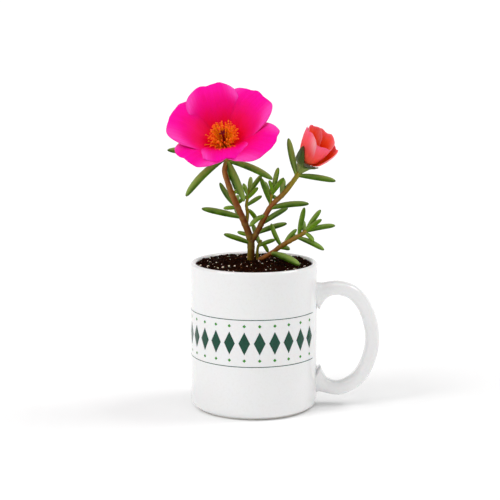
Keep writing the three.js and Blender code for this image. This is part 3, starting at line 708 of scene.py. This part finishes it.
def stalk(line, root, tip, shares, age):
    """A stem as rings along its line, swollen where a leaf grows: the body, and its marks."""
    rings, marks = [], {"joint": [], "young": [], "ruddy": [], "lit": []}
    steps = 26 + 8 * (len(line) // 24)
    for step in range(steps + 1):
        share = step / steps
        place, sideways, over = sides_of(line, share, (0, 1, 0))
        nearest = min((abs(share - leaf) for leaf in shares), default=1.0)
        joint = math.exp(-(nearest / 0.012) ** 2)
        radius = (root + (tip - root) * share) * (1 + 0.1 * joint)
        turns = [math.tau * i / STALK_SIDES for i in range(STALK_SIDES)]
        ways = [sideways * math.cos(turn) + over * math.sin(turn) for turn in turns]
        rings.append([place + way * radius * (1 + 0.02 * math.sin(5 * turn + 9 * share))
                      for turn, way in zip(turns, ways)])
        marks["joint"] += [joint] * STALK_SIDES
        young = age[0] + (age[1] - age[0]) * min(max((share - YOUNG_FROM) / YOUNG_OVER, 0), 1)
        marks["young"] += [young] * STALK_SIDES
        marks["ruddy"] += [age[2]] * STALK_SIDES
        # How far each point faces the brighter light, which the stem's material paints lighter: a painted
        # highlight.
        marks["lit"] += [0.5 + 0.5 * way.dot(LIT_SIDE) for way in ways]
    return skin(rings), {name: [*values, values[0], values[-1]] for name, values in marks.items()}


LEAF_THICK = 2.2  # and this much more for each millimetre of its length:
LEAF_THICKER = 0.088
LEAF_RINGS = [0, 0.05, 0.12, 0.2, 0.3, 0.42, 0.54, 0.65, 0.75, 0.83, 0.89, 0.935, 0.965, 0.985, 0.997]
LEAF_SIDES = 14
LEAF_WIDEST = 0.5


def leaf_body(line, row, draw):
    """A leaf as rings, and its marks: how far along it each point is, how young it is, and what faces up."""
    share, bearing, rise, length, bow = row
    foot = spot(line, share)[0]
    lift = foot + heading(bearing, rise + bow) * length / 2
    tip = foot + heading(bearing, rise) * length
    arch = [foot.lerp(lift, t).lerp(lift.lerp(tip, t), t) for t in (i / 24 for i in range(25))]
    half = (LEAF_THICK + LEAF_THICKER * length) / 2
    young = min(max((21 - length) / 12, 0), 1) * draw.uniform(0.5, 1) + draw.uniform(0, 0.12)
    sway = draw.uniform(-0.35, 0.35)
    rings, marks = [], {"along": [], "young": [], "upper": []}
    for s in LEAF_RINGS:
        place, sideways, over = sides_of(arch, s, (0, 0, 1))
        place = place + sideways * sway * math.sin(math.pi * s)
        if s < LEAF_WIDEST:
            wide = 0.46 + 0.54 * math.sin(math.pi / 2 * s / LEAF_WIDEST)
        else:
            wide = math.sqrt(1 - ((s - LEAF_WIDEST) / (1 - LEAF_WIDEST)) ** 2.8)
        ring = []
        for i in range(LEAF_SIDES):
            turn = math.tau * i / LEAF_SIDES
            groove = 1 - 0.16 * math.exp(-((turn - math.pi / 2) / 0.5) ** 2) * math.sin(math.pi * s)
            ring.append(place + sideways * (half * wide * math.cos(turn))
                        + over * (half * wide * 0.95 * math.sin(turn) * groove))
            marks["along"].append(s)
            marks["young"].append(young)
            # What faces up, which the leaf's material paints lighter as a highlight.
            marks["upper"].append(0.5 + 0.5 * math.sin(turn))
        rings.append(ring)
    for mark_name, at_foot, at_tip in (("along", 0, 1), ("young", young, young), ("upper", 0.5, 0.5)):
        marks[mark_name] += [at_foot, at_tip]
    return skin(rings), marks


# How green each stem is at its root and towards its tip, and how much redder than others at its height. The
# rest are green all along.
AGES = {"stem_left": (0.0, 0.1, 0.0), "stem_right": (0.0, 0.85, 0.0), "stem_low": (0.0, 0.4, 0.5)}

draw = random.Random(5)
hair_roots, hair_ways = [], []
for node, (root, tip, route, flower, rows) in STEMS.items():
    line = stem_line(route, flower)
    rod, marks = stalk(line, root, tip, [row[0] for row in rows], AGES.get(node, (0.7, 0.9, 0.0)))
    stem = piece(node + "_stalk", [rod], fleshy_stem, marks=marks)
    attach(stem, "root")
    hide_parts(node)
    bodies, all_marks = [], {"along": [], "young": [], "upper": []}
    for row in rows:
        leaf, marks = leaf_body(line, row, draw)
        bodies.append(leaf)
        for mark_name, values in marks.items():
            all_marks[mark_name] += values
        place, along = spot(line, row[0])
        for _ in range(9):
            way = heading(row[1] + draw.gauss(0, 35), row[2] + draw.gauss(18, 22)) + along * 0.5
            way.normalize()
            hair_roots.append(place + way * (root + (tip - root) * row[0]) * 0.8)
            hair_ways.append(way * draw.uniform(1.4, 3.0))
    leaves = piece(node + "_leaves", bodies, waxy_leaf, marks=all_marks)
    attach(leaves, "root")
    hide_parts(node)

# Hairs: a fine pale tapered hair at each point, along the way that the point carries.
hair_tree, h_in = growth("axil_hairs", [("Thickness", "Float")])
h_way = add(hair_tree, "GeometryNodeInputNamedAttribute", {"Name": "way"},
            data_type="FLOAT_VECTOR").outputs[0]
h_turn = add(hair_tree, "FunctionNodeAlignRotationToVector", {"Vector": h_way}, axis="Z")
h_long = add(hair_tree, "ShaderNodeVectorMath", {0: h_way}, operation="LENGTH").outputs["Value"]
h_size = add(hair_tree, "ShaderNodeCombineXYZ", {0: h_in["Thickness"], 1: h_in["Thickness"], 2: h_long})
h_cone = add(hair_tree, "GeometryNodeMeshCone", {
    "Vertices": 4, "Side Segments": 2, "Radius Top": 0.15, "Radius Bottom": 1.0, "Depth": 1.0})
h_points = add(hair_tree, "GeometryNodeMeshToPoints", {"Mesh": h_in["Geometry"]})
h_set = add(hair_tree, "GeometryNodeInstanceOnPoints", {
    "Points": h_points.outputs[0], "Instance": h_cone.outputs[0], "Rotation": h_turn.outputs[0],
    "Scale": h_size.outputs[0]})
end_growth(hair_tree, h_set.outputs[0], h_in["Material"])

pale_hair, tree, shader = finish("pale_hair", {"Subsurface Weight": 0.2, "Roughness": 0.5})
silk = mottled(tree, 600.0, 1.6, paint(206, 212, 168), paint(238, 238, 218))[0]
tree.links.new(silk, shader.inputs["Base Color"])

hair_base = bpy.data.meshes.new("axil_hair_base")
hair_base.from_pydata([at(*point) for point in hair_roots], [], [])
hair_base.attributes.new("way", "FLOAT_VECTOR", "POINT").data.foreach_set(
    "vector", [part / 1000 for way in hair_ways for part in way])
hairs = grown("axil_hair_tufts", hair_tree, hair_base, {"Thickness": 0.00005, "Material": pale_hair})
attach(hairs, "root")

# ---- Flowers ----
# An open single bloom and a half-open bud. Each stands in a green cup with two pointed sepals; the petals are
# thin silky sheets that overlap by turns, round a brush of orange stamens and a dark red pistil.


def spline(points, share):
    """A point of a flat smooth curve, with the given points at equal shares."""
    run = share * (len(points) - 1)
    i = min(int(run), len(points) - 2)
    t = run - i
    before, after = points[max(i - 1, 0)], points[min(i + 2, len(points) - 1)]
    made = []
    for a, b, c, d in zip(before, points[i], points[i + 1], after):
        first, last = (c - a) / 2, (d - b) / 2
        made.append((2 * b - 2 * c + first + last) * t ** 3 + (3 * c - 3 * b - 2 * first - last) * t * t
                    + first * t + b)
    return made


def flower_frame(flower):
    """The frame that stands at a flower's place with +Z along its axis and +X level, in millimetres."""
    axis = heading(flower["bearing"], flower["rise"])
    level = heading(flower["bearing"] + 90, 0)
    turned_to = Matrix((level, axis.cross(level), axis)).transposed().to_4x4()
    return Matrix.Translation(flower["place"]) @ turned_to


def sheet(name, stand, place, turns, across, along, thickness, *materials):
    """Thin blades round a flower, each bent by place(number, u, v), with u and v as its UV map. A second
    material is for their inner faces."""
    parts, spots = [], []
    spread = [math.sin((i / across - 0.5) * math.pi) for i in range(across + 1)]
    for number, turn in enumerate(turns):
        spin = stand @ Matrix.Rotation(math.radians(turn), 4, "Z")
        rows = []
        for v in (j / along for j in range(along + 1)):
            rows.append([spin @ place(number, u, v) for u in spread])
            spots += [((u + 1) / 2, v) for u in spread]
        parts.append(skin(rows, around=False))
    made = piece(name, parts, *materials, closed=False)
    layer = made.data.uv_layers.new(name="UVMap")
    for face in made.data.loops:
        layer.data[face.index].uv = spots[face.vertex_index]
    solid = made.modifiers.new("thickness", "SOLIDIFY")
    solid.thickness = thickness / 1000
    solid.offset = 0.0
    solid.material_offset = len(materials) - 1
    return made


# Petals as (turn, reach, height, width, whether it lies over its neighbours, where its notch is).
BLOOM_PETALS = [
    (59, 37.2, 18.8, 42, True, -0.25), (112, 38.3, 22.5, 37, False, 0.1), (162, 36.4, 18, 45, True, 0.35),
    (233, 33.6, 14.4, 35.5, False, -0.1), (284, 27.5, 13, 36, True, 0), (338, 37.4, 16.6, 40, False, 0.4),
]
BLOOM_FORM = {
    "foot": 2.2, "base": 1.1, "profile": [(0.33, 0.5), (0.67, 0.9), (1, 1)], "full": 0.82, "corner": 0.62,
    "notch": 0.045, "wrap": 0.45, "cup": 1, "curl": 2.2, "ruffle": 0.6, "overlap": 1.6}
BUD_PETALS = [
    (136, 10.8, 22.2, 23, False, 0), (234, 10.2, 17.4, 24, True, 0), (312, 14.2, 17.8, 21, False, 0),
    (4, 12, 22, 21, True, 0), (76, 9.6, 23.4, 22, False, 0),
]
BUD_FORM = {
    "foot": 1.4, "base": 1.1, "profile": [(0.56, 0.2), (0.78, 0.45), (0.94, 0.75), (1, 1)], "full": 0.6,
    "corner": 0.72, "notch": 0.03, "wrap": 1, "cup": 0, "curl": 0, "ruffle": 0.4, "overlap": 0.6}


def round_axis(out, side, smallest, wrap):
    """A blade's offset to the side curved round the flower's axis, from flat, at wrap 0, to a full round."""
    angle = side / max(out, smallest)
    return out + wrap * (out * math.cos(angle) - out), side + wrap * (out * math.sin(angle) - side)


NARROW = 0.14  # the foot's share of a petal's width
DRAWN_IN = 0.4  # how much a petal that lies over its neighbours is drawn in
RIM_SQUARENESS = 2.4
NOTCH_WIDTH = 0.2
RUFFLE_WAVES = 1.3


def petal_place(petals, form):
    """How a flower's petals are bent: narrow at the foot, broad, notched and ruffled at the round rim."""
    def place(number, u, v):
        turn, reach, height, width, over, notch_at = petals[number]
        lift = form["overlap"] if over else 0
        line = [(form["foot"], form["base"])]
        line += [(out * reach - DRAWN_IN * lift, up * (height + lift)) for out, up in form["profile"]]
        lobe = math.sqrt(1 - min(1, abs(u)) ** RIM_SQUARENESS)
        notch = form["notch"] * math.exp(-(((u - notch_at) / NOTCH_WIDTH) ** 2))
        frill = 0.004 * math.sin(11 * u + turn) + 0.003 * math.sin(23 * u + 2 * turn)
        middle = spline(line, v * (form["corner"] + (1 - form["corner"]) * lobe - notch + frill * lobe * v))
        spread = NARROW + (1 - NARROW) * math.sin(min(1, v / form["full"]) * math.pi / 2)
        x, y = round_axis(middle[0], u * spread * width / 2, form["foot"], form["wrap"])
        ruffle = form["ruffle"] * v * v * math.sin(2 * RUFFLE_WAVES * u * math.pi + turn)
        pleat = 0.16 * form["ruffle"] * v * math.sin(19 * u + 3 * turn)
        curl = form["curl"] * v ** 4 * abs(u)
        return Vector((x, y, middle[1] + ruffle + pleat - curl + form["cup"] * u * u * spread * (1 - v)))
    return place


def petal_silk(name, along_stops, rim_and_highlight, vein):
    """Silky petal skin: colours from the foot to the rim, a paler rim that is partly the petal's own paler
    margin and partly a painted highlight, and fine veins that fan out.
    """
    material, tree, shader = finish(name, {
        "Subsurface Weight": 0.2, "Subsurface Radius": (1.0, 0.1, 0.5), "Subsurface Scale": 0.0012,
        "Specular IOR Level": 0.04})
    spots = add(tree, "ShaderNodeUVMap").outputs[0]
    split = add(tree, "ShaderNodeSeparateXYZ", {0: spots})
    u, v = split.outputs[0], split.outputs[1]
    wavy = maths(tree, "MULTIPLY_ADD", clouded(tree, 90.0, 1.4), 0.16, v)
    tone = ramp(tree, maths(tree, "SUBTRACT", wavy, 0.08, clamp=True), along_stops)
    # The sides turn paler towards the end: partly the petal's own paler margin, partly a painted highlight.
    by_side = mapped(tree, maths(tree, "ABSOLUTE", maths(tree, "SUBTRACT", u, 0.5)), 0.12, 0.48)
    by_end = mapped(tree, v, 0.5, 0.95)
    rim = maths(tree, "MULTIPLY", by_side, by_end)
    paler = mixed(tree, mapped(tree, rim, 0, 1, 0.0, 0.6), tone, rim_and_highlight)
    fan = clouded(tree, 1.0, 2.2, place=spots, stretch=(46, 1.6, 1))
    veined = mixed(tree, mapped(tree, fan, 0.0, 1.0, 0.0, 0.28), paler, vein)
    dress(tree, shader, veined, mapped(tree, fan, 0, 1, 0.42, 0.6))
    bump(tree, shader, fan, 0.25, 0.6)
    return material


magenta_silk = petal_silk("magenta_petal", [
    (0.0, paint(255, 120, 0)), (0.13, paint(255, 48, 0)), (0.24, paint(250, 4, 28)),
    (0.35, paint(238, 0, 58)), (0.5, paint(240, 0, 94)), (0.62, paint(242, 0, 122)),
    (0.8, paint(246, 0, 150)), (1.0, paint(250, 14, 168))],
    paint(255, 90, 196), paint(220, 0, 90))
coral_silk = petal_silk("coral_petal", [
    (0.0, paint(160, 92, 26)), (0.2, paint(232, 90, 46)), (0.5, paint(250, 84, 72)),
    (0.8, paint(255, 98, 112)), (1.0, paint(255, 106, 138))],
    paint(255, 190, 194), paint(240, 36, 64))
glowing_silk = petal_silk("coral_petal_inside", [
    (0.0, paint(225, 76, 0)), (0.35, paint(255, 98, 4)), (0.62, paint(255, 70, 0)),
    (0.8, paint(255, 88, 52)), (1.0, paint(252, 112, 124))],
    paint(254, 144, 146), paint(255, 44, 6))

SEPALS = {  # turn, width, and the sepal's line as (distance from the axis, height)
    "bloom": [(-60, 9, [(3.4, -1.6), (7, 0), (10.5, 2.2), (13.5, 4.4)]),
              (120, 9, [(3.4, -1.6), (7, 0), (10.5, 2.2), (13.5, 4.4)])],
    "bud": [(156, 10, [(3.8, -1.4), (5.9, 0.4), (7.3, 4.2), (8.7, 8), (10, 11.6)]),
            (262, 14, [(3.8, -1.4), (5.7, 0.2), (7.6, 1.5), (9.4, 3.5)])],
}
CUPS = {"bloom": (1.5, 4.2), "bud": (1.9, 5.2)}


def green_flesh(name, foot, deep, light, tip):
    """Waxy green skin that goes from one colour at a blade's foot to another at its tip."""
    material, tree, shader = finish(name, {
        "Subsurface Weight": 0.06, "Subsurface Radius": (0.5, 1.0, 0.2), "Subsurface Scale": 0.001,
        "Specular IOR Level": 0.22, "Coat Weight": 0.03, "Coat Roughness": 0.3})
    v = add(tree, "ShaderNodeSeparateXYZ", {0: add(tree, "ShaderNodeUVMap").outputs[0]}).outputs[1]
    middle, flecks = mottled(tree, 160.0, 2.2, deep, light)
    from_foot = mixed(tree, mapped(tree, v, 0.0, 0.45), foot, middle)
    to_tip = mixed(tree, mapped(tree, v, 0.7, 1.0), from_foot, tip)
    dress(tree, shader, to_tip, mapped(tree, flecks, 0, 1, 0.34, 0.5))
    bump(tree, shader, clouded(tree, 700.0, 2.0), 0.12, 0.5)
    return material


sepal_green = green_flesh("sepal_green", paint(104, 120, 58), paint(42, 62, 12), paint(78, 98, 32),
                          paint(72, 60, 22))
cup_green = green_flesh("cup_green", paint(124, 138, 72), paint(84, 104, 38), paint(132, 148, 78),
                        paint(104, 120, 58))

# Stamen brush: threads round a centre, a golden angle apart, that lean out more the further out they stand,
# and droop a little at the front.
GOLDEN_ANGLE = 137.5
brush, b_in = growth("stamen_brush", [
    ("Count", "Int"), ("Inside", "Float"), ("Outside", "Float"), ("Length", "Float"), ("Lean", "Float"),
    ("Droop", "Float"), ("Thickness", "Float"), ("Tip", "Float"), ("Seed", "Int"),
    ("Tip material", "Material")])
b_index = add(brush, "GeometryNodeInputIndex").outputs[0]
b_part = maths(brush, "DIVIDE", maths(brush, "ADD", b_index, 0.5), b_in["Count"])
b_share = maths(brush, "SQRT", b_part)
b_radius = add(brush, "ShaderNodeMapRange", {
    "Value": b_share, "To Min": b_in["Inside"], "To Max": b_in["Outside"]}).outputs[0]
b_turn = maths(brush, "MULTIPLY", b_index, math.radians(GOLDEN_ANGLE))
b_spots = add(brush, "ShaderNodeCombineXYZ", enumerate(level_place(brush, b_radius, b_turn)))
b_points = add(brush, "GeometryNodePoints", {"Count": b_in["Count"], "Position": b_spots.outputs[0]})
b_thread = add(brush, "GeometryNodeCurveQuadraticBezier", {
    "Resolution": 6, "Start": (0, 0, 0), "Middle": (-0.12, 0, 0.55), "End": (0, 0, 1)})
b_along = add(brush, "GeometryNodeStoreNamedAttribute", {
    "Geometry": b_thread.outputs[0], "Name": "along",
    "Value": add(brush, "GeometryNodeSplineParameter").outputs["Factor"]})
b_profile = add(brush, "GeometryNodeCurvePrimitiveCircle", {"Resolution": 5, "Radius": b_in["Thickness"]})
b_rod = add(brush, "GeometryNodeCurveToMesh", {
    "Curve": b_along.outputs[0], "Profile Curve": b_profile.outputs[0], "Fill Caps": True})
b_dressed = add(brush, "GeometryNodeSetMaterial", {
    "Geometry": b_rod.outputs[0], "Material": b_in["Material"]})
b_ball = add(brush, "GeometryNodeMeshIcoSphere", {"Radius": b_in["Tip"], "Subdivisions": 2})
b_anther = add(brush, "GeometryNodeTransform", {
    "Geometry": b_ball.outputs[0], "Translation": (0, 0, 1), "Scale": (1.5, 0.8, 0.75)})
b_tipped = add(brush, "GeometryNodeSetMaterial", {
    "Geometry": b_anther.outputs[0], "Material": b_in["Tip material"]})
b_stamen = add(brush, "GeometryNodeJoinGeometry")
for part in (b_dressed, b_tipped):
    brush.links.new(part.outputs[0], b_stamen.inputs[0])
b_outward = maths(brush, "MULTIPLY", b_share, b_in["Lean"])
b_jitter = add(brush, "FunctionNodeRandomValue", {2: -0.16, 3: 0.16, "Seed": b_in["Seed"]}, data_type="FLOAT")
b_front = maths(brush, "MULTIPLY", maths(brush, "SINE", b_turn), -1.0, clamp=True)
b_drooped = maths(brush, "MULTIPLY_ADD", b_front, b_in["Droop"], b_outward)
b_lean = maths(brush, "ADD", b_drooped, b_jitter.outputs[1])
b_way = add(brush, "ShaderNodeCombineXYZ", {0: b_jitter.outputs[1], 1: b_lean, 2: b_turn})
b_shorter = maths(brush, "MULTIPLY_ADD", b_share, -0.25, 1.0)
b_varied = add(brush, "FunctionNodeRandomValue", {2: 0.84, 3: 1.06, "Seed": b_in["Seed"]}, data_type="FLOAT")
b_long = maths(brush, "MULTIPLY", b_shorter, b_varied.outputs[1])
b_size = maths(brush, "MULTIPLY", b_long, b_in["Length"])
b_set = add(brush, "GeometryNodeInstanceOnPoints", {
    "Points": b_points.outputs[0], "Instance": b_stamen.outputs[0], "Rotation": b_way.outputs[0],
    "Scale": b_size})
b_real = add(brush, "GeometryNodeRealizeInstances", {"Geometry": b_set.outputs[0]})
b_smooth = add(brush, "GeometryNodeSetShadeSmooth", {"Geometry": b_real.outputs[0], "Shade Smooth": True})
add(brush, "NodeGroupOutput", {"Geometry": b_smooth.outputs[0]})


def thread_skin(name, deep, light, scale, foot=None):
    """Fine flesh for stamens and the pistil, of another colour at the foot of a thread if one is given."""
    material, tree, shader = finish(name, {
        "Subsurface Weight": 0.2, "Subsurface Radius": (1.0, 0.4, 0.1), "Subsurface Scale": 0.0006,
        "Specular IOR Level": 0.15})
    flesh, grain = mottled(tree, scale, 2.4, deep, light)
    if foot:
        flesh = mixed(tree, mapped(tree, mark(tree, "along"), 0.34, 0.0), flesh, foot)
    dress(tree, shader, flesh, mapped(tree, grain, 0, 1, 0.4, 0.6))
    bump(tree, shader, grain, 0.05, 0.5)
    return material


thread_orange = thread_skin("stamen_thread", paint(255, 124, 2), paint(255, 180, 24), 260.0,
                            paint(214, 44, 8))
pollen = thread_skin("pollen_tip", paint(246, 56, 6), paint(255, 132, 30), 900.0)
pistil_red = thread_skin("pistil_red", paint(92, 4, 22), paint(150, 16, 40), 400.0)

FLOWERS = {
    "bloom": (BLOOM, BLOOM_PETALS, BLOOM_FORM, [magenta_silk], "petal_magenta", 36, {
        "Count": 130, "Inside": 0.0015, "Outside": 0.0028, "Length": 0.0165, "Lean": 0.5, "Droop": 0.45,
        "Thickness": 0.014, "Tip": 0.04, "Seed": 4}),
    "bud": (BUD, BUD_PETALS, BUD_FORM, [coral_silk, glowing_silk], "petal_coral", 24, {
        "Count": 26, "Inside": 0.0006, "Outside": 0.0018, "Length": 0.0105, "Lean": 0.24, "Droop": 0.0,
        "Thickness": 0.02, "Tip": 0.06, "Seed": 9}),
}
for name, (flower, petals, form, silks, slot, fineness, brush_values) in FLOWERS.items():
    stand = flower_frame(flower)
    sheets = sheet(name + "_petal_sheets", stand, petal_place(petals, form), [p[0] for p in petals],
                   fineness, fineness, 0.35, *silks)
    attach(sheets, "root")
    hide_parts(name + "_petals")

    foot, top = CUPS[name]
    depth = flower["cup"]
    cup_line = [(0, -depth), (foot, -depth), (foot + 0.5, -0.85 * depth), (0.62 * top, -0.62 * depth),
                (0.8 * top, -0.4 * depth), (0.93 * top, -0.18 * depth), (top, -0.02 * depth),
                (top - 0.3, 0.1), (top - 0.8, 0.0), (0, 0)]
    points, faces = turned(cup_line, 32)
    cup = piece(name + "_cup", [([stand @ point for point in points], faces)], cup_green)
    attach(cup, "root")
    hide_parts(name + "_calyx")

    blades = SEPALS[name]

    def sepal_place(number, u, v):
        """A keeled, pointed blade, curved round the petals."""
        _, width, line = blades[number]
        out, up = spline(line, v)
        x, y = round_axis(out, u * width / 2 * math.cos(v * 1.5) ** 0.9, foot, 0.6)
        keel = 0.4 * math.exp(-((u / 0.16) ** 2)) * (1 - v)
        return Vector((x + keel, y, up))

    sepals = sheet(name + "_sepals", stand, sepal_place, [blade[0] for blade in blades], 16, 20, 0.7,
                   sepal_green)
    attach(sepals, "root")
    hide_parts(name + "_calyx")

    stamens = grown(name + "_stamen_brush", brush, bpy.data.meshes.new(name + "_brush_base"), {
        **brush_values, "Material": thread_orange, "Tip material": pollen})
    for vertex in stamens.data.vertices:
        vertex.co = at(*(stand @ (vertex.co * 1000 + Vector((0, 0, form["base"] + 1.2)))))
    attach(stamens, "root")
    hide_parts(name + "_stamens")

# The pistil of the open bloom: a thin style with five stout lobes that curl out.
stand = flower_frame(BLOOM)
style_line = [(0, 2.3), (0.75, 2.3), (0.66, 5), (0.6, 9), (0.62, 11.2), (0.4, 12.5), (0, 12.7)]
points, faces = turned(style_line, 16)
pistil_parts = [([stand @ point for point in points], faces)]
for lobe in range(5):
    spin = stand @ Matrix.Rotation(math.tau * lobe / 5, 4, "Z")
    route = smooth_line([(0, 0, 11.3), (1.1, 0, 12.7), (2.2, 0, 13.2), (2.8, 0, 13.1)], 8)
    rings = []
    for step in range(13):
        share = step / 12
        place, sideways, over = sides_of(route, share, (0, 1, 0))
        radius = 0.42 + 0.2 * math.sin(math.pi * share) - 0.3 * share ** 6
        rings.append([spin @ (place + (sideways * math.cos(turn) + over * math.sin(turn)) * radius)
                      for turn in (math.tau * i / 10 for i in range(10))])
    pistil_parts.append(skin(rings))
pistil = piece("bloom_pistil_lobes", pistil_parts, pistil_red)
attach(pistil, "root")
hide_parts("bloom_pistil")
